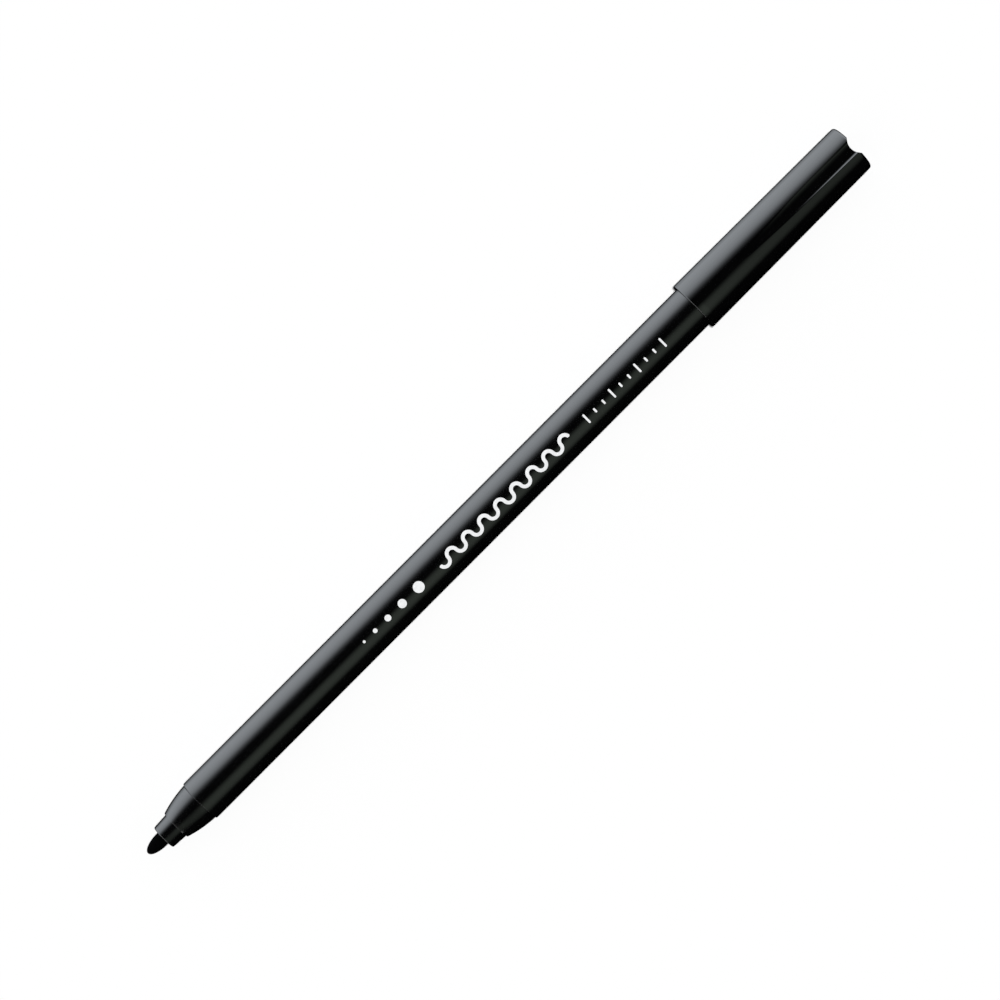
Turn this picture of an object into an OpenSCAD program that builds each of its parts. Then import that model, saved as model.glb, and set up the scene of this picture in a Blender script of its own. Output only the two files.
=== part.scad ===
// Felt-tip pen lying on its side: nib towards -X, cap pushed onto the rear end towards +X.
// Every piece is turned about its own z axis, measured from the tip of the nib, then laid down.

/* [Barrel] */
// Outside diameter of the barrel.
barrel_d = 8; // [7.5:0.1:10]
// Thickness of the barrel wall.
barrel_wall = 0.75; // [0.6:0.05:0.95]
// Length of the barrel tube.
barrel_len = 130; // [100:1:160]
// Rounding of the outer edges at both ends of the barrel.
barrel_edge = 0.1; // [0.05:0.05:0.3]
// Depth of the ring groove that marks how far the cap is pushed over the rear.
seat_groove_depth = 0.2; // [0.16:0.02:0.3]
// Width of that groove.
seat_groove_w = 1; // [0.6:0.1:2]
// How much of that groove shows in front of the cap's rim.
seat_groove_lead = 0.15; // [0.1:0.05:0.5]
// Number of ribs along the inside of the barrel.
rib_count = 4; // [3:1:6]
// Height of those ribs.
rib_h = 0.25; // [0.15:0.05:0.4]
// Width of those ribs.
rib_w = 0.5; // [0.3:0.1:1]

/* [Nose section] */
// Step in radius from the barrel down to the nose.
nose_step = 0.25; // [0.1:0.05:0.4]
// Length of the curved nose in front of the barrel.
nose_len = 5.7; // [5:0.1:9]
// Radius of the nose's curve along the pen.
nose_curve = 21; // [16:1:60]
// Width of the seam between the nose and the barrel.
seam_w = 0.14; // [0.06:0.02:0.3]
// Diameter of the nose at its shoulder behind the collar.
nose_shoulder_d = 5.54; // [5.4:0.02:6.4]
// Length of the collar in front of the shoulder.
collar_len = 3; // [2:0.1:5]
// Diameter of the collar at its front.
collar_front_d = 4.58; // [4.2:0.02:4.8]
// Diameter of the collar at the shoulder.
collar_back_d = 4.9; // [4.6:0.02:5.2]
// Rounding of the collar's front edge.
collar_edge = 0.2; // [0.05:0.05:0.4]
// Length of the spigot that is pressed into the barrel.
spigot_len = 9; // [6:0.5:14]
// Depth of the hollow in the back of the spigot.
spigot_hollow = 6.4; // [3:0.1:7]
// Wall of that hollow.
spigot_wall = 1; // [0.8:0.1:1.3]
// Number of air slots along the nib's bore.
vent_count = 3; // [2:1:4]
// Width of an air slot.
vent_w = 0.45; // [0.3:0.05:0.6]
// Depth of an air slot.
vent_depth = 0.3; // [0.2:0.05:0.4]

/* [Nib] */
// Diameter of the fibre nib.
nib_d = 2.56; // [2:0.02:2.8]
// How far the nib stands out of the collar.
nib_out = 3.75; // [2.5:0.05:5]
// Length of the rounded point.
nib_point = 3.2; // [1.5:0.1:5]
// How deep the nib is pushed into the reservoir.
nib_sink = 9.5; // [6:0.5:14]
// Length of the taper at the nib's rear end.
nib_taper = 1.6; // [0.5:0.1:3]
// Diameter of the nib at its rear end.
nib_rear_d = 1.2; // [0.6:0.1:1.8]

/* [Reservoir] */
// Thickness of the film around the fibre core.
film_t = 0.1; // [0.06:0.02:0.2]
// Outside diameter of the breather tube.
breather_d = 1; // [0.8:0.05:1.2]
// Wall of the breather tube.
breather_wall = 0.2; // [0.1:0.05:0.3]
// How far the breather tube lies below the surface of the core.
breather_sink = 0.06; // [0.02:0.02:0.1]

/* [End plug] */
// Length of the plug's skirt inside the barrel.
plug_len = 8; // [5:0.5:12]
// Wall of the plug's skirt.
plug_wall = 0.8; // [0.6:0.1:1.2]
// Thickness of the plug's head behind the barrel.
plug_head = 0.8; // [0.5:0.1:1.2]
// Step in radius from the barrel down to the plug's head.
plug_inset = 0.35; // [0.25:0.05:0.6]
// Rounding of the head's outer edge.
plug_edge = 0.25; // [0.1:0.05:0.4]
// Diameter of the dimple in the middle of the head.
dimple_d = 2.4; // [1.5:0.1:3.5]
// Depth of that dimple.
dimple_depth = 0.25; // [0.1:0.05:0.4]

/* [Snap beads] */
// Radius of the round bead that holds the nose and the plug in the barrel.
bead_r = 0.3; // [0.2:0.05:0.4]
// How far a bead stands out of its spigot or skirt.
bead_out = 0.12; // [0.06:0.02:0.16]
// Distance of a bead from the end of the barrel.
bead_from_end = 4; // [3:0.5:4.5]

/* [Cap] */
// Length of the cap.
cap_len = 37.9; // [36:0.1:50]
// Wall of the cap at its rim.
cap_wall = 0.725; // [0.6:0.025:1]
// How much smaller the cap's outside radius is at its closed end.
cap_draft = 0.19; // [0.1:0.01:0.3]
// Rounding of the outer edge of the cap's rim.
rim_edge = 0.3; // [0.1:0.05:0.4]
// Rounding of the edge around the closed end.
cap_end_edge = 0.5; // [0.2:0.1:0.8]
// How deep the barrel sits in the cap when the cap is pushed onto the rear.
post_depth = 12.8; // [8:0.1:16]
// Room between the barrel's end and the end of the cap's wide bore.
post_room = 0.2; // [0.1:0.05:0.5]
// Length of the cone between the cap's wide and narrow bores.
cap_cone = 5.6; // [5:0.1:8]
// Wall left between the flutes and the narrow bore.
cap_web = 0.775; // [0.5:0.025:0.9]
// Thickness of the cap's closed end.
cap_end_wall = 3; // [2:0.1:4]
// Width of the lead-in at the mouth of the cap.
mouth_lead = 0.2; // [0.1:0.05:0.3]

/* [Cap flutes] */
// Width of each of the two opposite flutes.
flute_w = 2.8; // [2:0.1:3.4]
// Radius of a flute's hollow floor.
flute_floor = 5; // [3:0.5:12]
// Rounding between a flute's floor and its walls.
flute_edge = 0.6; // [0.2:0.1:0.9]
// Depth of a flute at the closed end.
flute_depth = 0.55; // [0.3:0.05:0.7]
// Distance from the rim to the place where a flute starts.
flute_start = 12; // [8:0.5:24]
// Depth of a flute at its start.
flute_step = 0.03; // [0.02:0.01:0.1]
// Radius of the groove over the closed end.
groove_r = 2.4; // [1.5:0.1:3.5]
// Depth of the groove over the closed end.
groove_depth = 0.82; // [0.3:0.02:1.2]

/* [Inner cap] */
// How deep the nib's chamber goes beyond the nib's point when the cap is on the nose.
chamber_room = 3; // [1:0.5:4]
// Diameter of the nib's chamber.
chamber_d = 4; // [3.2:0.1:4.4]
// Wall across the end of the chamber.
chamber_wall = 0.8; // [0.5:0.1:1.2]
// Wall of the skirt behind the chamber.
liner_wall = 0.75; // [0.6:0.05:1]

/* [Clearances] */
// Gap all round between two pieces that are pressed together.
fit_gap = 0.02; // [0.01:0.01:0.03]
// Gap all round between the barrel and the cap that slides over it.
slide_gap = 0.04; // [0.02:0.01:0.08]
// Gap between the ends of the reservoir and its neighbours.
end_gap = 0.3; // [0.1:0.1:1]

/* [Hidden] */
$fn = 96;
point_steps = 16;
cut_over = 1;

barrel_r = barrel_d / 2;
bore_r = barrel_r - barrel_wall;
seat_groove_r = barrel_r - seat_groove_depth;

collar_z = nib_out;
shoulder_z = collar_z + collar_len;
barrel_z = shoulder_z + nose_len;
spigot_z = barrel_z + spigot_len;
barrel_end = barrel_z + barrel_len;
plug_z = barrel_end - plug_len;
cap_z = barrel_end - post_depth;
cap_end = cap_z + cap_len;
seat_groove_z = cap_z - seat_groove_lead;

nose_r = barrel_r - nose_step;
shoulder_r = nose_shoulder_d / 2;
spigot_r = bore_r - fit_gap;
nib_r = nib_d / 2;
nib_bore_r = nib_r + fit_gap;
collar_front_r = collar_front_d / 2;
collar_back_r = collar_back_d / 2;

film_r = bore_r - rib_h - fit_gap;
film_bore_r = film_r - film_t;
core_r = film_bore_r - fit_gap;
core_z = spigot_z + end_gap;
core_len = plug_z - end_gap - core_z;
nib_len = core_z + nib_sink;
breather_r = breather_d / 2;
breather_at = core_r - breather_sink - breather_r;

plug_head_r = barrel_r - plug_inset;
bead_in = bead_r - bead_out;

cap_rim_r = barrel_r + slide_gap + cap_wall;
cap_end_r = cap_rim_r - cap_draft;
cap_bore_r = barrel_r + slide_gap;
liner_bore_r = cap_end_r - flute_depth - cap_web;
wide_depth = post_depth + post_room;
narrow_depth = wide_depth + cap_cone;
hollow_depth = cap_len - cap_end_wall;
flute_run = cap_len - flute_start;

liner_r = liner_bore_r - fit_gap;
capped_shoulder = post_depth + nose_len;
liner_z = max(narrow_depth, capped_shoulder) + end_gap;
liner_end = hollow_depth - end_gap;
seal_back_r = collar_back_r + slide_gap;
seal_front_r = collar_front_r + slide_gap;
chamber_end = capped_shoulder + collar_len + nib_out + chamber_room;
chamber_r = chamber_d / 2;

axis_z = cap_radius(rim_edge);
pen_len = cap_end;

// Outside radius of the cap at a distance from its rim.
function cap_radius(z) = cap_rim_r - cap_draft * z / cap_len;

// Lays a piece from the turning axis into its place on the table.
module lay_down() {
    translate([-pen_len / 2, 0, axis_z])
        rotate([0, 90, 0])
            children();
}

// Turned strip from the axis out to radius r, between two heights; each outer corner can be rounded.
module turned_strip(r, z0, z1, edge0 = 0, edge1 = 0) {
    translate([0, z0])
        square([r - edge0, z1 - edge1 - z0]);
    translate([0, z0 + edge0])
        square([r - edge1, z1 - edge0 - z0]);
    translate([0, z0 + edge0])
        square([r, z1 - z0 - edge0 - edge1]);
    if (edge0 > 0)
        translate([r - edge0, z0 + edge0])
            circle(edge0);
    if (edge1 > 0)
        translate([r - edge1, z1 - edge1])
            circle(edge1);
}

// Half-round snap bead on a turned profile of radius r.
module bead(r, z, gap) {
    translate([r - bead_in, z])
        circle(bead_r + gap);
}

module barrel() {
    color("#17181a")
        lay_down() {
            rotate_extrude()
                difference() {
                    turned_strip(barrel_r, barrel_z, barrel_end, edge0 = barrel_edge, edge1 = barrel_edge);
                    translate([seat_groove_r, seat_groove_z])
                        square([barrel_r, seat_groove_w]);
                    translate([0, barrel_z - cut_over])
                        square([bore_r, barrel_len + 2 * cut_over]);
                    bead(spigot_r, barrel_z + bead_from_end, fit_gap);
                    bead(spigot_r, barrel_end - bead_from_end, fit_gap);
                }
            for (i = [0 : rib_count - 1])
                rotate([0, 0, 360 * (i + 0.5) / rib_count])
                    translate([bore_r - rib_h, -rib_w / 2, core_z])
                        cube([rib_h + barrel_wall / 2, rib_w, core_len]);
        }
}

module end_plug() {
    color("#1b1c1e")
        lay_down()
            rotate_extrude()
                difference() {
                    union() {
                        translate([0, plug_z])
                            square([spigot_r, plug_len + plug_head / 2]);
                        turned_strip(plug_head_r, barrel_end + fit_gap, barrel_end + plug_head, edge1 = plug_edge);
                        bead(spigot_r, barrel_end - bead_from_end, 0);
                    }
                    translate([0, plug_z - cut_over])
                        square([spigot_r - plug_wall, plug_len + cut_over]);
                    translate([0, barrel_end + plug_head - dimple_depth])
                        square([dimple_d / 2, dimple_depth + cut_over]);
                }
}

// Curved nose in front of the barrel, as a segment of one large circle.
module nose_curve_profile() {
    rise = nose_r - shoulder_r;
    chord = sqrt(nose_len * nose_len + rise * rise);
    depth = sqrt(nose_curve * nose_curve - chord * chord / 4);
    intersection() {
        translate([
            (nose_r + shoulder_r) / 2 - depth * nose_len / chord,
            (shoulder_z + barrel_z) / 2 + depth * rise / chord
        ])
            circle(nose_curve);
        translate([0, shoulder_z])
            square([barrel_r, nose_len - seam_w]);
    }
}

module nose_profile() {
    nose_curve_profile();
    polygon([
        [0, collar_z + collar_edge],
        [collar_front_r, collar_z + collar_edge],
        [collar_back_r, shoulder_z],
        [collar_back_r, shoulder_z + fit_gap],
        [0, shoulder_z + fit_gap]
    ]);
    translate([0, collar_z])
        square([collar_front_r - collar_edge, collar_len]);
    translate([collar_front_r - collar_edge, collar_z + collar_edge])
        circle(collar_edge);
    translate([0, shoulder_z + nose_len / 2])
        square([spigot_r, nose_len / 2 + spigot_len]);
    bead(spigot_r, barrel_z + bead_from_end, 0);
}

module nose_section() {
    color("#1d1e20")
        lay_down()
            difference() {
                rotate_extrude()
                    difference() {
                        nose_profile();
                        translate([0, collar_z - cut_over])
                            square([nib_bore_r, spigot_z - collar_z + 2 * cut_over]);
                        translate([0, spigot_z - spigot_hollow])
                            square([spigot_r - spigot_wall, spigot_hollow + cut_over]);
                    }
                for (i = [0 : vent_count - 1])
                    rotate([0, 0, 360 * i / vent_count])
                        translate([0, -vent_w / 2, collar_z + collar_len / 2])
                            cube([nib_bore_r + vent_depth, vent_w, spigot_z - collar_z]);
            }
}

module nib() {
    color("#0b0b0c")
        lay_down()
            rotate_extrude()
                polygon(concat(
                    [for (i = [0 : point_steps])
                        [nib_r * sin(90 * i / point_steps), nib_point * (1 - cos(90 * i / point_steps))]],
                    [
                        [nib_r, nib_len - nib_taper],
                        [nib_rear_d / 2, nib_len],
                        [0, nib_len]
                    ]
                ));
}

module reservoir_core() {
    color("#2a2a33")
        lay_down()
            difference() {
                translate([0, 0, core_z])
                    cylinder(r = core_r, h = core_len);
                translate([0, 0, core_z - cut_over])
                    cylinder(r = nib_bore_r, h = nib_sink + end_gap + cut_over);
                translate([0, 0, core_z - cut_over])
                    linear_extrude(core_len + 2 * cut_over) {
                        translate([breather_at, 0])
                            circle(breather_r + fit_gap);
                        translate([breather_at, -breather_r - fit_gap])
                            square([core_r, breather_d + 2 * fit_gap]);
                    }
            }
}

module reservoir_film() {
    color("#d9dce0")
        lay_down()
            translate([0, 0, core_z])
                difference() {
                    cylinder(r = film_r, h = core_len);
                    translate([0, 0, -cut_over])
                        cylinder(r = film_bore_r, h = core_len + 2 * cut_over);
                }
}

module breather_tube() {
    color("#eef0ee")
        lay_down()
            translate([breather_at, 0, core_z])
                difference() {
                    cylinder(r = breather_r, h = core_len);
                    translate([0, 0, -cut_over])
                        cylinder(r = breather_r - breather_wall, h = core_len + 2 * cut_over);
                }
}

// Outside of the cap, drafted towards the closed end.
module cap_outside() {
    polygon([
        [0, rim_edge],
        [cap_radius(rim_edge), rim_edge],
        [cap_radius(cap_len - cap_end_edge), cap_len - cap_end_edge],
        [0, cap_len - cap_end_edge]
    ]);
    square([cap_radius(rim_edge) - rim_edge, cap_len / 2]);
    translate([cap_radius(rim_edge) - rim_edge, rim_edge])
        circle(rim_edge);
    translate([0, cap_len / 2])
        square([cap_radius(cap_len - cap_end_edge) - cap_end_edge, cap_len / 2]);
    translate([cap_radius(cap_len - cap_end_edge) - cap_end_edge, cap_len - cap_end_edge])
        circle(cap_end_edge);
}

// Stepped hollow of the cap: wide for the barrel, narrow for the nose and the inner cap.
module cap_inside() {
    polygon([
        [0, -cut_over],
        [cap_bore_r + mouth_lead + cut_over, -cut_over],
        [cap_bore_r, mouth_lead],
        [cap_bore_r, wide_depth],
        [liner_bore_r, narrow_depth],
        [liner_bore_r, hollow_depth],
        [0, hollow_depth]
    ]);
}

// Section of a flute: a hollow floor at x = 0, rounded into two walls.
module flute_section() {
    corner_y = flute_w / 2 - flute_edge;
    corner_x = flute_floor - sqrt(pow(flute_floor - flute_edge, 2) - corner_y * corner_y);
    touch_y = corner_y * flute_floor / (flute_floor - flute_edge);
    intersection() {
        translate([flute_floor, 0])
            circle(flute_floor);
        translate([0, -touch_y])
            square([flute_floor, 2 * touch_y]);
    }
    translate([corner_x, -flute_w / 2])
        square([flute_floor - corner_x, flute_w]);
    for (side = [-1, 1])
        translate([corner_x, side * corner_y])
            circle(flute_edge);
}

// One slanting cutter, which leaves a flute that deepens towards the closed end.
module flute() {
    near = cap_radius(flute_start) - flute_step;
    far = cap_end_r - flute_depth;
    translate([near, 0, flute_start])
        rotate([0, -atan2(near - far, flute_run), 0])
            linear_extrude(flute_run + cut_over)
                flute_section();
}

module cap_shell() {
    color("#141517")
        lay_down()
            translate([0, 0, cap_z])
                difference() {
                    rotate_extrude()
                        difference() {
                            cap_outside();
                            cap_inside();
                        }
                    flute();
                    mirror([1, 0, 0])
                        flute();
                    translate([-barrel_d, 0, cap_len + groove_r - groove_depth])
                        rotate([0, 90, 0])
                            cylinder(r = groove_r, h = 2 * barrel_d);
                }
}

module inner_cap() {
    color("#e4e4df")
        lay_down()
            translate([0, 0, cap_z])
                rotate_extrude()
                    difference() {
                        translate([0, liner_z])
                            square([liner_r, liner_end - liner_z]);
                        polygon([
                            [0, liner_z - cut_over],
                            [seal_back_r, liner_z - cut_over],
                            [seal_back_r, liner_z],
                            [seal_front_r, liner_z + collar_len],
                            [chamber_r, liner_z + collar_len],
                            [chamber_r, chamber_end],
                            [0, chamber_end]
                        ]);
                        translate([0, chamber_end + chamber_wall])
                            square([liner_r - liner_wall, liner_end]);
                    }
}

barrel();
end_plug();
nose_section();
nib();
reservoir_core();
reservoir_film();
breather_tube();
cap_shell();
inner_cap();
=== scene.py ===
import math

import bmesh
import bpy
import numpy as np
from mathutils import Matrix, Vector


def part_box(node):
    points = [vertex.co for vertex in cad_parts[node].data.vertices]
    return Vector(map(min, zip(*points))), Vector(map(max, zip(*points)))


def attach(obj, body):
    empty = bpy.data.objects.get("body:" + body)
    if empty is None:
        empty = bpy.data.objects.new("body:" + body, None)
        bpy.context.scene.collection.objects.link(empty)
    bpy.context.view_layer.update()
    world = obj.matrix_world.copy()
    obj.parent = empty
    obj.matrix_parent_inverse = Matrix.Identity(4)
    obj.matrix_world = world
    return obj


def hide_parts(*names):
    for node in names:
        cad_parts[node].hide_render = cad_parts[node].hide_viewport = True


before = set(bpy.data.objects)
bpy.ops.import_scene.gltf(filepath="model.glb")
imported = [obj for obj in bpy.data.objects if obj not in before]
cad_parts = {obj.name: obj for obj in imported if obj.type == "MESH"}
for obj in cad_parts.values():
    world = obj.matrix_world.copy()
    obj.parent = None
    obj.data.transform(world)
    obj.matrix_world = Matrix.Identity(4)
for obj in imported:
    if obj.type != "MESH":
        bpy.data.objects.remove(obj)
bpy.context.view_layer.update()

mm = 0.001  # sizes are in millimetres and angles in degrees
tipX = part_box("nib")[0].x  # everything along the pen is measured from the tip of the nib
axisZ = (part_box("barrel")[0].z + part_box("barrel")[1].z) / 2
weldGap = 0.002 * mm
roundSteps = 6
faceWeight = 90


def along(z):
    return tipX + z * mm


def clearSelection():
    if bpy.context.mode != "OBJECT":
        bpy.ops.object.mode_set(mode="OBJECT")
    bpy.ops.object.select_all(action="DESELECT")


def pickOnly(obj):
    clearSelection()
    obj.select_set(True)
    bpy.context.view_layer.objects.active = obj


def selectVerts(obj, wanted):
    bpy.ops.mesh.select_mode(type="VERT")
    bpy.ops.mesh.select_all(action="DESELECT")
    edit = bmesh.from_edit_mesh(obj.data)
    for v in edit.verts:
        v.select = wanted(v.co)
    edit.select_flush_mode()
    bmesh.update_edit_mesh(obj.data)


def selectFaces(obj, wanted):
    bpy.ops.mesh.select_mode(type="FACE")
    bpy.ops.mesh.select_all(action="DESELECT")
    edit = bmesh.from_edit_mesh(obj.data)
    for f in edit.faces:
        f.select = wanted(f.calc_center_median())
    edit.select_flush_mode()
    bmesh.update_edit_mesh(obj.data)


def addModifier(obj, kind, **values):
    pickOnly(obj)
    modifier = obj.modifiers.new(kind.title(), kind)
    for key, value in values.items():
        setattr(modifier, key, value)
    bpy.ops.object.modifier_apply(modifier=modifier.name)


# a plane drawn together to one point, left in edit mode to be extruded from
def startPoint(x, z):
    clearSelection()
    bpy.ops.mesh.primitive_plane_add(size=mm, location=(x, 0, z))
    obj = bpy.context.active_object
    bpy.ops.object.transform_apply(location=True, rotation=True, scale=True)
    bpy.ops.object.mode_set(mode="EDIT")
    bpy.ops.mesh.select_mode(type="VERT")
    bpy.ops.mesh.select_all(action="SELECT")
    bpy.ops.mesh.merge(type="CENTER")
    return obj


# draws the half section as a chain of points above the axis, each (place, radius, rounding)
def drawSection(name, points):
    obj = startPoint(along(points[0][0]), axisZ + points[0][1] * mm)
    obj.name = name
    for last, point in zip(points, points[1:]):
        step = ((point[0] - last[0]) * mm, 0, (point[1] - last[1]) * mm)
        bpy.ops.mesh.extrude_vertices_move(TRANSFORM_OT_translate={"value": step})
    bpy.ops.mesh.select_all(action="SELECT")
    bpy.ops.mesh.remove_doubles(threshold=weldGap)
    for z, r, rounding in points:
        if rounding:
            spot = (along(z), axisZ + r * mm)
            selectVerts(obj, lambda co: math.dist((co.x, co.z), spot) < weldGap)
            bpy.ops.mesh.bevel(offset=rounding * mm, segments=roundSteps, affect="VERTICES", profile=0.5)
    return obj


# spins the section round the pen's axis; each turn is (degrees, steps)
def spinSection(obj, turns):
    bpy.ops.mesh.select_mode(type="VERT")
    bpy.ops.mesh.select_all(action="SELECT")
    for degrees, steps in turns:
        bpy.ops.mesh.spin(steps=steps, angle=math.radians(degrees), center=(0, 0, axisZ), axis=(1, 0, 0))
    bpy.ops.mesh.select_all(action="SELECT")
    bpy.ops.mesh.remove_doubles(threshold=weldGap)
    bpy.ops.mesh.normals_make_consistent(inside=False)
    bpy.ops.object.mode_set(mode="OBJECT")


def smoothTurned(obj, angle):
    pickOnly(obj)
    bpy.ops.object.shade_smooth_by_angle(angle=math.radians(angle))
    addModifier(obj, "WEIGHTED_NORMAL", keep_sharp=True, weight=faceWeight)


def settle(obj, body, node, material):
    obj.data.name = obj.name
    obj.data.materials.append(material)
    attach(obj, body)
    if node:
        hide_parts(node)
    print("made", obj.name, len(obj.data.polygons), "faces")


class Nodes:
    def __init__(self, name):
        self.material = bpy.data.materials.new(name)
        self.material.use_nodes = True
        self.tree = self.material.node_tree
        self.shader = self.tree.nodes["Principled BSDF"]
        self.place = self.add("ShaderNodeTexCoord").outputs["Object"]

    def add(self, kind, **values):
        node = self.tree.nodes.new(kind)
        for key, value in values.items():
            setattr(node, key, value)
        return node

    def join(self, a, b):
        self.tree.links.new(a, b)

    # a plain number goes onto the socket, anything else is linked to it
    def put(self, value, socket):
        if isinstance(value, (int, float)):
            socket.default_value = value
        else:
            self.join(value, socket)

    # noise over the piece, stretched by a scale for each axis
    def noise(self, scale, detail, roughness=0.5):
        mapping = self.add("ShaderNodeMapping")
        mapping.inputs["Scale"].default_value = scale
        self.join(self.place, mapping.inputs["Vector"])
        noise = self.add("ShaderNodeTexNoise")
        noise.inputs["Scale"].default_value = 1.0
        noise.inputs["Detail"].default_value = detail
        noise.inputs["Roughness"].default_value = roughness
        self.join(mapping.outputs["Vector"], noise.inputs["Vector"])
        return noise.outputs["Fac"]

    # maps start to low and end to high; left out, they suit the range of noise
    def spread(self, value, low, high, start=0.3, end=0.7):
        remap = self.add("ShaderNodeMapRange")
        remap.inputs["From Min"].default_value = start
        remap.inputs["From Max"].default_value = end
        remap.inputs["To Min"].default_value = low
        remap.inputs["To Max"].default_value = high
        self.join(value, remap.inputs["Value"])
        return remap.outputs["Result"]

    def ramp(self, value, stops):
        ramp = self.add("ShaderNodeValToRGB")
        elements = ramp.color_ramp.elements
        while len(elements) < len(stops):
            elements.new(0.5)
        for element, (position, colour) in zip(elements, stops):
            element.position = position
            element.color = (*colour, 1)
        self.join(value, ramp.inputs["Fac"])
        return ramp.outputs["Color"]

    def calc(self, operation, a, b):
        node = self.add("ShaderNodeMath", operation=operation)
        self.put(a, node.inputs[0])
        self.put(b, node.inputs[1])
        return node.outputs["Value"]

    def blend(self, kind, share, a, b):
        mix = self.add("ShaderNodeMix", data_type="RGBA", blend_type=kind)
        self.put(share, mix.inputs["Factor"])
        self.put(a, mix.inputs["A"])
        self.put(b, mix.inputs["B"])
        return mix.outputs["Result"]

    def bump(self, height, distance, strength, under=None):
        bump = self.add("ShaderNodeBump")
        bump.inputs["Distance"].default_value = distance
        bump.inputs["Strength"].default_value = strength
        self.join(height, bump.inputs["Height"])
        if under:
            self.join(under, bump.inputs["Normal"])
        return bump.outputs["Normal"]

    def set(self, **sockets):
        for key, value in sockets.items():
            self.shader.inputs[key.replace("_", " ")].default_value = value


# moulded black plastic: faint mottling, drawn marks along the pen, fine orange peel
blackLook = {
    "mottleDetail": 4, "darkStop": 0.35, "lightStop": 0.7, "drawnStretch": 30, "drawnDetail": 5,
    "drawnRoughness": 0.6, "drawnStrength": 0.4, "peelDetail": 2, "peelStrength": 0.6, "ior": 1.5,
}


def blackPlastic(name, finish):
    n, s = Nodes(name), {**blackLook, **finish}
    mottle = n.noise((s["mottle"],) * 3, s["mottleDetail"])
    colours = [(s["darkStop"], s["dark"]), (s["lightStop"], s["light"])]
    n.join(n.ramp(mottle, colours), n.shader.inputs["Base Color"])
    across = s["drawn"] * s["drawnStretch"]
    drawn = n.noise((s["drawn"], across, across), s["drawnDetail"], s["drawnRoughness"])
    n.join(n.spread(drawn, *s["gloss"]), n.shader.inputs["Roughness"])
    peel = n.bump(n.noise((s["peel"],) * 3, s["peelDetail"]), s["peelDepth"], s["peelStrength"])
    n.join(n.bump(drawn, s["drawnDepth"], s["drawnStrength"], peel), n.shader.inputs["Normal"])
    n.set(IOR=s["ior"])
    return n.material


# bundle of fibres that runs along the pen
fibreLook = {
    "stretch": 40, "detail": 4, "roughness": 0.6, "darkStop": 0.35, "lightStop": 0.65, "strength": 0.8, "ior": 1.4,
}


def fibreBundle(name, finish):
    n, s = Nodes(name), {**fibreLook, **finish}
    lengthwise = s["strand"] / s["stretch"]
    strands = n.noise((lengthwise, s["strand"], s["strand"]), s["detail"], s["roughness"])
    colours = [(s["darkStop"], s["dark"]), (s["lightStop"], s["light"])]
    n.join(n.ramp(strands, colours), n.shader.inputs["Base Color"])
    n.join(n.spread(strands, *s["gloss"]), n.shader.inputs["Roughness"])
    n.join(n.bump(strands, s["depth"], s["strength"]), n.shader.inputs["Normal"])
    n.set(IOR=s["ior"], Specular_IOR_Level=s["shine"])
    return n.material


# pale and a little cloudy, with a fine grain: bare plastic inside the pen, and the ink of the print
paleLook = {
    "cloudDetail": 3, "darkStop": 0.3, "lightStop": 0.7, "grainDetail": 2, "strength": 0.5, "ior": 1.5,
    "milkDepth": 0.5 * mm,
}


def paleSurface(name, finish):
    n, s = Nodes(name), {**paleLook, **finish}
    cloud = n.noise((s["cloud"],) * 3, s["cloudDetail"])
    colours = [(s["darkStop"], s["dark"]), (s["lightStop"], s["light"])]
    n.join(n.ramp(cloud, colours), n.shader.inputs["Base Color"])
    n.join(n.spread(cloud, *s["gloss"]), n.shader.inputs["Roughness"])
    grain = n.noise((s["grain"],) * 3, s["grainDetail"])
    n.join(n.bump(grain, s["depth"], s["strength"]), n.shader.inputs["Normal"])
    n.set(IOR=s["ior"], Subsurface_Weight=s["milky"], Subsurface_Scale=s["milkDepth"])
    return n.material


barrelPlastic = blackPlastic("barrelPlastic", {
    "dark": (0.0008, 0.0008, 0.0009), "light": (0.0014, 0.0014, 0.0015), "mottle": 300, "gloss": (0.16, 0.2),
    "drawn": 60, "drawnDepth": 0.001 * mm, "peel": 900, "peelDepth": 0.004 * mm,
})
nosePlastic = blackPlastic("nosePlastic", {
    "dark": (0.001, 0.001, 0.0011), "light": (0.0016, 0.0016, 0.0017), "mottle": 500, "gloss": (0.13, 0.17),
    "drawn": 90, "drawnDepth": 0.001 * mm, "peel": 1400, "peelDepth": 0.004 * mm,
})
capPlastic = blackPlastic("capPlastic", {
    "dark": (0.0008, 0.0008, 0.0009), "light": (0.0013, 0.0013, 0.0014), "mottle": 260, "gloss": (0.1, 0.15),
    "drawn": 50, "drawnDepth": 0.0008 * mm, "peel": 700, "peelDepth": 0.003 * mm,
})
plugPlastic = blackPlastic("plugPlastic", {
    "dark": (0.003, 0.003, 0.0032), "light": (0.005, 0.005, 0.0052), "mottle": 700, "gloss": (0.4, 0.5),
    "drawn": 200, "drawnDepth": 0.001 * mm, "peel": 2400, "peelDepth": 0.006 * mm,
})
nibFibre = fibreBundle("nibFibre", {
    "dark": (0.0004, 0.0004, 0.0005), "light": (0.0014, 0.0014, 0.0015), "strand": 9000, "gloss": (0.6, 0.85),
    "depth": 0.02 * mm, "shine": 0.01,
})
coreFibre = fibreBundle("coreFibre", {
    "dark": (0.008, 0.008, 0.012), "light": (0.03, 0.03, 0.04), "strand": 6000, "gloss": (0.6, 0.9),
    "depth": 0.03 * mm, "shine": 0.3,
})
filmPlastic = paleSurface("filmPlastic", {
    "dark": (0.66, 0.68, 0.71), "light": (0.74, 0.76, 0.79), "cloud": 250, "gloss": (0.15, 0.35),
    "grain": 900, "depth": 0.004 * mm, "milky": 0.1,
})
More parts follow.
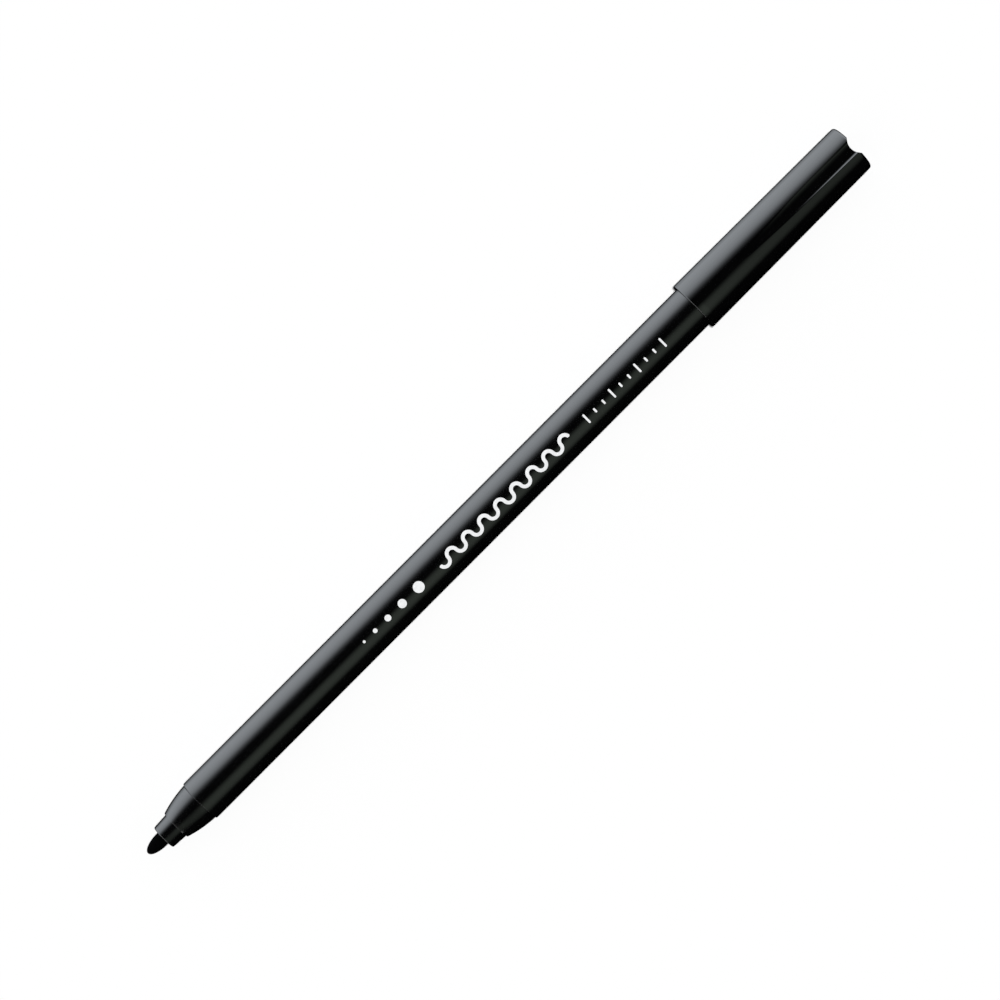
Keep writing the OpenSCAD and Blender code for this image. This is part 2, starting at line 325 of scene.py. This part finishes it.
breatherPlastic = paleSurface("breatherPlastic", {
    "dark": (0.78, 0.8, 0.78), "light": (0.84, 0.86, 0.84), "cloud": 400, "gloss": (0.3, 0.42),
    "grain": 1500, "depth": 0.003 * mm, "milky": 0.2,
})
linerPlastic = paleSurface("linerPlastic", {
    "dark": (0.7, 0.7, 0.67), "light": (0.78, 0.78, 0.75), "cloud": 300, "gloss": (0.35, 0.5),
    "grain": 1800, "depth": 0.004 * mm, "milky": 0.2,
})
printInk = paleSurface("printInk", {
    "dark": (0.8, 0.81, 0.82), "light": (0.88, 0.89, 0.9), "cloud": 1800, "cloudDetail": 4, "lightStop": 0.55,
    "gloss": (0.38, 0.52), "grain": 4000, "depth": 0.002 * mm, "milky": 0.0,
})
print("mixed the materials")

insideFinish = {
    "reservoir_core": coreFibre, "reservoir_film": filmPlastic,
    "breather_tube": breatherPlastic, "inner_cap": linerPlastic,
}
for nodeName, finish in insideFinish.items():
    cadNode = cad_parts[nodeName]
    cadNode.data.materials.clear()
    cadNode.data.materials.append(finish)
print("dressed the pieces inside")

# barrel: tube with a ring groove under the cap's rim, a snap groove near each end, ribs inside
barrelSize = {
    "front": 12.45, "rear": 142.45, "radius": 4.0, "bore": 3.25, "edge": 0.06,
    "grooveFront": 129.7, "grooveBack": 130.5, "grooveRadius": 3.8, "grooveEdge": 0.03,
    "snap": 4.0, "snapRadius": 3.37, "snapHalf": 0.25, "sides": 160, "smooth": 30,
    "ribs": 4, "ribHeight": 0.25, "ribTurn": 4.5, "ribFront": 21.75, "ribBack": 134.15, "boreMargin": 0.1,
}


def makeBarrel(s):
    section = [
        (s["front"], s["radius"], s["edge"]),
        (s["grooveFront"], s["radius"], s["grooveEdge"]), (s["grooveFront"], s["grooveRadius"], 0),
        (s["grooveBack"], s["grooveRadius"], 0), (s["grooveBack"], s["radius"], s["grooveEdge"]),
        (s["rear"], s["radius"], s["edge"]), (s["rear"], s["bore"], 0),
    ]
    for snap in (s["rear"] - s["snap"], s["front"] + s["snap"]):
        section += [
            (snap + s["snapHalf"], s["bore"], 0), (snap, s["snapRadius"], 0), (snap - s["snapHalf"], s["bore"], 0),
        ]
        if snap > s["ribBack"]:
            section += [(s["ribBack"], s["bore"], 0), (s["ribFront"], s["bore"], 0)]
    section += [(s["front"], s["bore"], 0), (s["front"], s["radius"], 0)]
    obj = drawSection("barrel_tube", section)
    spinSection(obj, [(360, s["sides"])])
    ribTurns = [math.radians(360 * (i + 0.5) / s["ribs"]) for i in range(s["ribs"])]

    def onRib(centre):
        if not along(s["ribFront"]) < centre.x < along(s["ribBack"]):
            return False
        if math.hypot(centre.y, centre.z - axisZ) > (s["bore"] + s["boreMargin"]) * mm:
            return False
        turn = math.atan2(centre.y, centre.z - axisZ)
        return any(abs(math.remainder(turn - t, math.tau)) < math.radians(s["ribTurn"]) for t in ribTurns)

    bpy.ops.object.mode_set(mode="EDIT")
    selectFaces(obj, onRib)
    bpy.ops.mesh.extrude_region_shrink_fatten(TRANSFORM_OT_shrink_fatten={"value": s["ribHeight"] * mm})
    bpy.ops.object.mode_set(mode="OBJECT")
    smoothTurned(obj, s["smooth"])
    settle(obj, "pen", "barrel", barrelPlastic)
    return obj


barrelTube = makeBarrel(barrelSize)

# nose: collar, shoulder, curved cone, and the spigot inside the barrel
noseSize = {
    "front": 3.75, "bore": 1.3, "boreEdge": 0.05, "collarFront": 2.29, "collarBack": 2.45, "collarEdge": 0.2,
    "shoulder": 6.75, "shoulderRadius": 2.77, "shoulderEdge": 0.015,
    "rear": 12.45, "rearRadius": 3.75, "curve": 21.0, "curveSteps": 14, "seam": 0.14,
    "spigot": 21.45, "spigotRadius": 3.23, "spigotEdge": 0.1, "snap": 16.45, "snapRadius": 3.35, "snapHalf": 0.22,
    "hollow": 15.05, "hollowRadius": 2.23, "sides": 160, "smooth": 30,
}


def makeNose(s):
    a, b = (s["shoulder"], s["shoulderRadius"]), (s["rear"], s["rearRadius"])
    length, rise = b[0] - a[0], b[1] - a[1]
    chord = math.hypot(length, rise)
    back = math.sqrt(s["curve"] ** 2 - chord ** 2 / 4)
    centre = ((a[0] + b[0]) / 2 + back * rise / chord, (a[1] + b[1]) / 2 - back * length / chord)
    curve = []
    for i in range(1, s["curveSteps"] + 1):
        z = a[0] + (length - s["seam"]) * i / s["curveSteps"]
        curve.append((z, centre[1] + math.sqrt(s["curve"] ** 2 - (z - centre[0]) ** 2), 0))
    obj = drawSection("nose_cone", [
        (s["front"], s["bore"], s["boreEdge"]), (s["front"], s["collarFront"], s["collarEdge"]),
        (s["shoulder"], s["collarBack"], 0), (s["shoulder"], s["shoulderRadius"], s["shoulderEdge"]), *curve,
        (s["rear"] - s["seam"], s["spigotRadius"], 0), (s["snap"] - s["snapHalf"], s["spigotRadius"], 0),
        (s["snap"], s["snapRadius"], 0), (s["snap"] + s["snapHalf"], s["spigotRadius"], 0),
        (s["spigot"], s["spigotRadius"], s["spigotEdge"]), (s["spigot"], s["hollowRadius"], 0),
        (s["hollow"], s["hollowRadius"], 0), (s["hollow"], s["bore"], 0), (s["front"], s["bore"], 0),
    ])
    spinSection(obj, [(360, s["sides"])])
    smoothTurned(obj, s["smooth"])
    settle(obj, "pen", "nose_section", nosePlastic)


makeNose(noseSize)

# nib: fibre rod with a rounded point
nibSize = {
    "radius": 1.28, "point": 3.2, "pointSteps": 18, "taper": 29.65, "rear": 31.25, "rearRadius": 0.6,
    "sides": 96, "smooth": 35,
}


def makeNib(s):
    point = []
    for i in range(s["pointSteps"] + 1):
        turn = math.pi / 2 * i / s["pointSteps"]
        point.append((s["point"] * (1 - math.cos(turn)), s["radius"] * math.sin(turn), 0))
    obj = drawSection("fibre_nib", [
        *point, (s["taper"], s["radius"], 0), (s["rear"], s["rearRadius"], 0), (s["rear"], 0, 0),
    ])
    spinSection(obj, [(360, s["sides"])])
    smoothTurned(obj, s["smooth"])
    settle(obj, "pen", "nib", nibFibre)


makeNib(nibSize)

# stopper in the rear of the barrel, with a dimple in its head
plugSize = {
    "front": 134.45, "skirt": 3.23, "skirtBore": 2.43, "skirtEdge": 0.1, "inside": 142.45,
    "snap": 138.45, "snapRadius": 3.35, "snapHalf": 0.22, "seat": 142.47, "rear": 143.25, "headRadius": 3.65,
    "headEdge": 0.25, "dimple": 1.2, "dimpleFloor": 143.0, "floorEdge": 0.06, "dimpleEdge": 0.08,
    "sides": 128, "smooth": 30,
}


def makePlug(s):
    obj = drawSection("end_stopper", [
        (s["dimpleFloor"], 0, 0), (s["dimpleFloor"], s["dimple"], s["floorEdge"]),
        (s["rear"], s["dimple"], s["dimpleEdge"]), (s["rear"], s["headRadius"], s["headEdge"]),
        (s["seat"], s["headRadius"], 0), (s["seat"], s["skirt"], 0), (s["snap"] + s["snapHalf"], s["skirt"], 0),
        (s["snap"], s["snapRadius"], 0), (s["snap"] - s["snapHalf"], s["skirt"], 0),
        (s["front"], s["skirt"], s["skirtEdge"]), (s["front"], s["skirtBore"], 0),
        (s["inside"], s["skirtBore"], 0), (s["inside"], 0, 0),
    ])
    spinSection(obj, [(360, s["sides"])])
    smoothTurned(obj, s["smooth"])
    settle(obj, "pen", "end_plug", plugPlastic)


makePlug(plugSize)

# cap: drafted shell, carved by two opposite flutes and a groove over the closed end
capSize = {
    "rim": 129.65, "length": 37.9, "rimRadius": 4.765, "draft": 0.19, "rimEdge": 0.18, "endEdge": 0.5,
    "bore": 4.04, "mouthLead": 0.2, "mouthEdge": 0.04, "wideDepth": 13.0, "narrowDepth": 18.6, "narrowBore": 3.25,
    "hollow": 34.9, "hollowEdge": 0.2,
    "fluteStart": 12.0, "fluteStep": 0.03, "fluteDepth": 0.55, "fluteWidth": 2.8, "fluteFloor": 5.0,
    "fluteEdge": 0.6, "grooveRadius": 2.4, "grooveDepth": 0.82, "edge": 0.05, "smooth": 50,
    # points along the side, closer where it is fluted, then round and across the end; closer turns at the flutes
    "plainFrom": 1.5, "plainStep": 1.0, "flutedTo": 36.0, "flutedStep": 0.4,
    "endRows": (36.1, 37.25, 0.1), "endRings": (3.85, 0.1, -0.12),
    "turns": [(32, 52), (116, 36), (64, 104), (116, 36), (32, 52)],
    # the carving: where its lines start, least share of a line that is left, halvings, what it leaves alone
    "anchor": 34.2, "leastShare": 0.6, "halvings": 40, "boreWall": 0.3, "endWall": 1.0,
}


def capRadius(s, depth):
    return s["rimRadius"] - s["draft"] * depth / s["length"]


# how far a point lies inside a flute: a hollow floor that sinks towards the end, rounded into two walls
def insideFlute(s, depth, across, up):
    near = capRadius(s, s["fluteStart"]) - s["fluteStep"]
    far = capRadius(s, s["length"]) - s["fluteDepth"]
    run = (depth - s["fluteStart"]) / (s["length"] - s["fluteStart"])
    heart = near + (far - near) * run + s["fluteFloor"]
    reach = s["fluteFloor"] - s["fluteEdge"]
    cornerAcross = s["fluteWidth"] / 2 - s["fluteEdge"]
    drop = math.sqrt(reach ** 2 - cornerAcross ** 2)
    fromFloor = np.hypot(across, heart - up) - reach
    fromCorner = np.hypot(np.abs(across) - cornerAcross, up - heart + drop)
    fromWall = np.abs(across) - cornerAcross
    overFloor = np.abs(across) * drop <= cornerAcross * (heart - up)
    away = np.where(overFloor, fromFloor, np.where(up < heart - drop, fromCorner, fromWall))
    return np.where(run < 0, -1, s["fluteEdge"] - away)


# pulls the outside in along lines from the cap's heart, to where the cutters leave it, with rounded edges
def carveCap(obj, s):
    count = len(obj.data.vertices)
    co = np.zeros(count * 3)
    obj.data.vertices.foreach_get("co", co)
    co = co.reshape(-1, 3)
    depth = (co[:, 0] - along(s["rim"])) / mm
    across = co[:, 1] / mm
    up = (co[:, 2] - axisZ) / mm
    onSide = (np.hypot(across, up) > s["bore"] + s["boreWall"]) & (depth > s["rimEdge"])
    outside = onSide | (depth > s["hollow"] + s["endWall"])
    base = np.stack([np.minimum(depth, s["anchor"]), np.zeros(count), np.zeros(count)], 1)
    start = np.stack([depth, across, up], 1)
    reach = np.linalg.norm(start - base, axis=1)
    grooveAt = s["length"] + s["grooveRadius"] - s["grooveDepth"]
    edge = s["edge"]

    def over(t):
        p = base + (start - base) * t[:, None]
        flute = insideFlute(s, p[:, 0], p[:, 1], np.abs(p[:, 2]))
        groove = s["grooveRadius"] - np.hypot(p[:, 1], p[:, 0] - grooveAt)
        sides = np.stack([(t - 1) * reach, flute, groove])
        rounded = np.sqrt((np.maximum(sides + edge, 0) ** 2).sum(0))
        return np.minimum(-edge, sides.max(0)) + rounded

    low, high = np.full(count, s["leastShare"]), np.ones(count)
    for _ in range(s["halvings"]):
        middle = (low + high) / 2
        inside = over(middle) < 0
        low, high = np.where(inside, middle, low), np.where(inside, high, middle)
    moved = base + (start - base) * high[:, None]
    moved = np.where(outside[:, None], moved, start)
    moved = np.stack([along(s["rim"]) + moved[:, 0] * mm, moved[:, 1] * mm, axisZ + moved[:, 2] * mm], 1)
    obj.data.vertices.foreach_set("co", moved.ravel())
    obj.data.update()


def makeCap(s):
    rim, end, hollow = s["rim"], s["rim"] + s["length"], s["rim"] + s["hollow"]
    plain = np.arange(s["plainFrom"], s["fluteStart"], s["plainStep"])
    fluted = np.arange(s["fluteStart"], s["flutedTo"], s["flutedStep"])
    outer = [(rim + d, capRadius(s, d), 0) for d in (*plain, *fluted, *np.arange(*s["endRows"]))]
    rimCorner = (rim, capRadius(s, s["rimEdge"]), s["rimEdge"])
    endCorner = (end, capRadius(s, s["length"] - s["endEdge"]), s["endEdge"])
    endRings = [(end, r, 0) for r in np.arange(*s["endRings"])]
    obj = drawSection("cap_body", [
        (hollow, 0, 0), (hollow, s["narrowBore"], s["hollowEdge"]), (rim + s["narrowDepth"], s["narrowBore"], 0),
        (rim + s["wideDepth"], s["bore"], 0), (rim + s["mouthLead"], s["bore"], 0),
        (rim, s["bore"] + s["mouthLead"], s["mouthEdge"]), rimCorner, *outer, endCorner, *endRings, (end, 0, 0),
    ])
    spinSection(obj, s["turns"])
    carveCap(obj, s)
    pickOnly(obj)
    bpy.ops.object.shade_smooth_by_angle(angle=math.radians(s["smooth"]))
    settle(obj, "cap", "cap_shell", capPlastic)


makeCap(capSize)

# white print along the top of the barrel: dots that grow, a wavy stroke, a row of ticks
printSize = {
    "lift": 0.004, "thick": 0.016, "turn": 9.0, "cut": 0.2, "above": 5.0, "smooth": 30,
    "dots": [(51.0, 0.5), (53.6, 0.8), (56.6, 1.15), (60.0, 1.55), (63.9, 2.0)], "dotSides": 48,
    "waveStart": 69.0, "waveRadius": 0.95, "waveStroke": 0.62, "waves": 8, "waveSteps": 14, "waveEdge": 0.3,
    "tickStart": 103.6, "tickStep": 2.0, "ticks": 10, "tickWidth": 0.36, "tickRound": 0.49, "tickRoundSteps": 5,
    "tickHeight": 0.9, "tallEvery": 3, "tallHeight": 1.9,
}


# cuts a flat mark into strips, then lays it on the barrel and gives it the ink's thickness
def layOnBarrel(obj, height, s):
    y = -height / 2 + s["cut"]
    while y < height / 2:
        bpy.ops.mesh.select_all(action="SELECT")
        bpy.ops.mesh.bisect(plane_co=(0, y * mm, 0), plane_no=(0, 1, 0))
        y += s["cut"]
    bpy.ops.object.mode_set(mode="OBJECT")
    addModifier(
        obj, "SHRINKWRAP", target=barrelTube, wrap_method="PROJECT", wrap_mode="ABOVE_SURFACE", use_project_z=True,
        use_positive_direction=False, use_negative_direction=True, offset=s["lift"] * mm,
    )
    addModifier(obj, "SOLIDIFY", thickness=s["thick"] * mm, offset=1)
    return obj


def printTick(place, height, s):
    clearSelection()
    bpy.ops.mesh.primitive_plane_add(size=1, location=(along(place), 0, axisZ + s["above"] * mm))
    obj = bpy.context.active_object
    bpy.ops.transform.resize(value=(s["tickWidth"] * mm, height * mm, 1))
    bpy.ops.object.transform_apply(location=True, rotation=True, scale=True)
    bpy.ops.object.mode_set(mode="EDIT")
    bpy.ops.mesh.select_all(action="SELECT")
    rounding = s["tickWidth"] * s["tickRound"] * mm
    bpy.ops.mesh.bevel(offset=rounding, segments=s["tickRoundSteps"], affect="VERTICES", profile=0.5)
    return layOnBarrel(obj, height, s)


def printDot(place, width, s):
    clearSelection()
    bpy.ops.mesh.primitive_circle_add(
        vertices=s["dotSides"], radius=width / 2 * mm, fill_type="NGON",
        location=(along(place), 0, axisZ + s["above"] * mm),
    )
    obj = bpy.context.active_object
    bpy.ops.object.transform_apply(location=True, rotation=True, scale=True)
    bpy.ops.object.mode_set(mode="EDIT")
    return layOnBarrel(obj, width, s)


# one short edge, spun through half turns that lie above and below the line by turns
def printWave(s):
    radius, half = s["waveRadius"], s["waveStroke"] / 2
    obj = startPoint(along(s["waveStart"] - half), axisZ + s["above"] * mm)
    bpy.ops.mesh.extrude_vertices_move(TRANSFORM_OT_translate={"value": (s["waveStroke"] * mm, 0, 0)})
    bpy.ops.mesh.select_all(action="SELECT")
    for i in range(2 * s["waves"]):
        centre = along(s["waveStart"] + (2 * i + 1) * radius)
        turn = -math.pi if i % 2 == 0 else math.pi
        bpy.ops.mesh.spin(steps=s["waveSteps"], angle=turn, center=(centre, 0, 0), axis=(0, 0, 1))
    bpy.ops.mesh.select_all(action="SELECT")
    bpy.ops.mesh.remove_doubles(threshold=weldGap)
    ends = along(s["waveStart"]), along(s["waveStart"] + 4 * s["waves"] * radius)
    endReach = half * mm + weldGap

    def atEnd(co):
        return abs(co.y) < weldGap and min(abs(co.x - x) for x in ends) < endReach

    selectVerts(obj, atEnd)
    bpy.ops.mesh.bevel(offset=s["waveEdge"] * mm, segments=roundSteps, affect="VERTICES", profile=0.5)
    return layOnBarrel(obj, 2 * (radius + half), s)


def makePrint(s):
    marks = [printDot(*dot, s) for dot in s["dots"]]
    marks.append(printWave(s))
    for i in range(s["ticks"]):
        height = s["tickHeight"] if i % s["tallEvery"] else s["tallHeight"]
        marks.append(printTick(s["tickStart"] + i * s["tickStep"], height, s))
    clearSelection()
    for m in marks:
        m.select_set(True)
    bpy.context.view_layer.objects.active = marks[0]
    bpy.ops.object.join()
    obj = bpy.context.active_object
    obj.name = "barrel_print"
    bpy.ops.object.mode_set(mode="EDIT")
    bpy.ops.mesh.select_all(action="SELECT")
    bpy.ops.transform.rotate(value=-math.radians(s["turn"]), orient_axis="X", center_override=(0, 0, axisZ))
    bpy.ops.mesh.normals_make_consistent(inside=False)
    bpy.ops.object.mode_set(mode="OBJECT")
    bpy.ops.object.shade_smooth_by_angle(angle=math.radians(s["smooth"]))
    settle(obj, "pen", None, printInk)


makePrint(printSize)

# pale floor and plain soft light; the dome and the card are only seen in the gloss of the pen
studio = {
    "floorSide": 8.0, "floorColour": (0.95, 0.95, 0.95), "floorRoughness": 0.9,
    "sun": 3.06, "sunSoftness": 5.0, "sunHeight": 1.0, "ambient": 0.08,
    "domeRadius": 3.0, "domeSegments": 96, "domeRings": 48, "domeLevel": 5.0,
    "coolTint": (0.885, 0.942, 1.0), "greenTint": (0.86, 1.0, 0.85),
    # how bright the room is round the pen, by angle from overhead; below zero is the far side
    "room": [
        (-120, 3.6), (-98, 4.5), (-84, 4.9), (-72, 4.7), (-62, 4.2), (-53, 3.3), (-43.5, 1.6), (-34.5, 0.45),
        (-25, 0.02), (-16, 0.0), (10, 0.0), (18, 0.2), (26, 0.44), (34, 0.54), (48, 0.54), (56, 0.43), (63, 0.28),
        (69, 0.12), (74, 0.0),
    ],
    # share of that light on the near side, by place along the pen in dome radii
    "nearSide": [
        (-0.3, 0.6), (-0.22, 0.75), (-0.15, 1.15), (-0.09, 1.32), (0.0, 1.38), (0.076, 1.55), (0.09, 0.95),
        (0.105, 0.8), (0.13, 0.68),
    ],
    # low window on the near side, by angle, and its share past the nib, by place
    "window": [(66, 0.0), (75, 3.2), (83, 5.2), (94, 5.2)],
    "windowPlace": [(-0.8, 0.0), (-0.74, 1.0), (-0.66, 1.0), (-0.595, 0.0)],
    # the room darkens straight ahead and straight behind
    "endShare": 0.07, "endFull": 0.985, "endNone": 0.93,
    # ring of light past the nib, by place
    "ring": [(-0.985, 0.0), (-0.96, 3.6), (-0.8, 3.6), (-0.73, 0.0)],
    # how bright the floor looks in the gloss of the far side, by distance from the pen in millimetres: a painted
    # reflection of the floor, kept black within 7 mm of the pen and over all the near side as painted shade
    "cardSide": 7.0, "cardLift": 0.1, "cardReach": 60.0, "cardLevel": 4.5,
    "card": [(7.0, 0.0), (10.5, 1.35), (19.0, 3.4), (38.0, 4.2), (60.0, 4.5)],
}


def onlyInGloss(obj):
    obj.visible_camera = False
    obj.visible_diffuse = False
    obj.visible_transmission = False
    obj.visible_shadow = False
    obj.visible_volume_scatter = False


def glowNodes(name):
    n = Nodes(name)
    n.tree.nodes.remove(n.shader)
    glow = n.add("ShaderNodeEmission")
    n.join(glow.outputs["Emission"], n.tree.nodes["Material Output"].inputs["Surface"])
    n.material.cycles.emission_sampling = "NONE"
    parts = n.add("ShaderNodeSeparateXYZ")
    n.join(n.place, parts.inputs["Vector"])
    return n, glow, parts


def domeGlow(s):
    n, glow, parts = glowNodes("domeGlow")
    level = s["domeLevel"]
    towards = n.calc("MULTIPLY", parts.outputs["Y"], -1)
    angle = n.spread(n.calc("ARCTAN2", towards, parts.outputs["Z"]), 0, 1, -math.pi, math.pi)
    place = n.calc("DIVIDE", parts.outputs["X"], s["domeRadius"])
    lengthwise = n.spread(place, 0, 1, -1, 1)

    def byAngle(stops, tintOf):
        return n.ramp(angle, [
            ((degrees + 180) / 360, [c * value / level for c in tintOf(degrees)]) for degrees, value in stops
        ])

    def byPlace(stops, most):
        return n.ramp(lengthwise, [((u + 1) / 2, [value / most] * 3) for u, value in stops])

    room = byAngle(s["room"], lambda degrees: s["coolTint"] if degrees < 0 else s["greenTint"])
    most = max(share for _, share in s["nearSide"])
    nearShare = n.calc("MULTIPLY", byPlace(s["nearSide"], most), most)
    overhead = 0.5
    isNear = n.calc("GREATER_THAN", angle, overhead)
    light = n.blend("MULTIPLY", isNear, room, nearShare)
    window = byAngle(s["window"], lambda degrees: (1, 1, 1))
    light = n.blend("LIGHTEN", byPlace(s["windowPlace"], 1), light, window)
    away = n.calc("ABSOLUTE", place, 0)
    light = n.blend("MULTIPLY", 1, light, n.spread(away, 1, s["endShare"], s["endNone"], s["endFull"]))
    light = n.blend("LIGHTEN", 1, light, byPlace(s["ring"], level))
    n.join(light, glow.inputs["Color"])
    glow.inputs["Strength"].default_value = level
    return n.material


# the card glows only in the pen's gloss as a painted reflection of the floor, black near the pen and on the near
# side as painted shade
def cardGlow(s):
    n, glow, parts = glowNodes("cardGlow")
    distance = n.spread(parts.outputs["Y"], 0, 1, 0, s["cardReach"] * mm)
    stops = [(y / s["cardReach"], [c * value / s["cardLevel"] for c in s["coolTint"]]) for y, value in s["card"]]
    n.join(n.ramp(distance, stops), glow.inputs["Color"])
    glow.inputs["Strength"].default_value = s["cardLevel"]
    return n.material


# white where the camera or the gloss looks past the floor, and a little light from all round
def makeWorld(s):
    world = bpy.data.worlds.new("studioWorld")
    bpy.context.scene.world = world
    world.use_nodes = True
    world.cycles.sampling_method = "NONE"
    tree = world.node_tree
    background = tree.nodes["Background"]
    background.inputs["Color"].default_value = (1, 1, 1, 1)
    path = tree.nodes.new("ShaderNodeLightPath")
    last = None
    for ray in ("Is Camera Ray", "Is Glossy Ray", "Is Transmission Ray"):
        brighter = tree.nodes.new("ShaderNodeMath")
        brighter.operation = "MAXIMUM"
        brighter.inputs[1].default_value = s["ambient"]
        tree.links.new(path.outputs[ray], brighter.inputs[0])
        if last:
            tree.links.new(last.outputs["Value"], brighter.inputs[1])
        last = brighter
    tree.links.new(last.outputs["Value"], background.inputs["Strength"])


def makeStudio(s):
    clearSelection()
    bpy.ops.mesh.primitive_plane_add(size=s["floorSide"])
    floor = bpy.context.active_object
    floor.name = "floor"
    n = Nodes("paleFloor")
    n.set(Base_Color=(*s["floorColour"], 1), Roughness=s["floorRoughness"], Specular_IOR_Level=0.0)
    floor.data.materials.append(n.material)

    bpy.ops.mesh.primitive_uv_sphere_add(
        segments=s["domeSegments"], ring_count=s["domeRings"], radius=s["domeRadius"], location=(0, 0, axisZ)
    )
    dome = bpy.context.active_object
    dome.name = "dome"
    dome.data.materials.append(domeGlow(s))
    onlyInGloss(dome)

    bpy.ops.mesh.primitive_plane_add(size=s["cardSide"], location=(0, 0, s["cardLift"] * mm))
    card = bpy.context.active_object
    card.name = "floor_card"
    card.data.materials.append(cardGlow(s))
    onlyInGloss(card)

    bpy.ops.object.light_add(type="SUN", location=(0, 0, s["sunHeight"]))
    sun = bpy.context.active_object
    sun.name = "overhead"
    sun.data.energy = s["sun"]
    sun.data.angle = math.radians(s["sunSoftness"])
    sun.visible_glossy = False
    makeWorld(s)
    print("lit the studio")


makeStudio(studio)

camera = {"place": (0, 0.00004, 0.7046), "turn": -45.07, "lens": 150, "sensor": 36}


def makeCamera(s):
    clearSelection()
    bpy.ops.object.camera_add(location=s["place"], rotation=(0, 0, math.radians(s["turn"])))
    cam = bpy.context.active_object
    cam.data.lens = s["lens"]
    cam.data.sensor_width = s["sensor"]
    bpy.context.scene.camera = cam
    print("set the camera")


makeCamera(camera)
bpy.context.scene.view_settings.view_transform = "Standard"
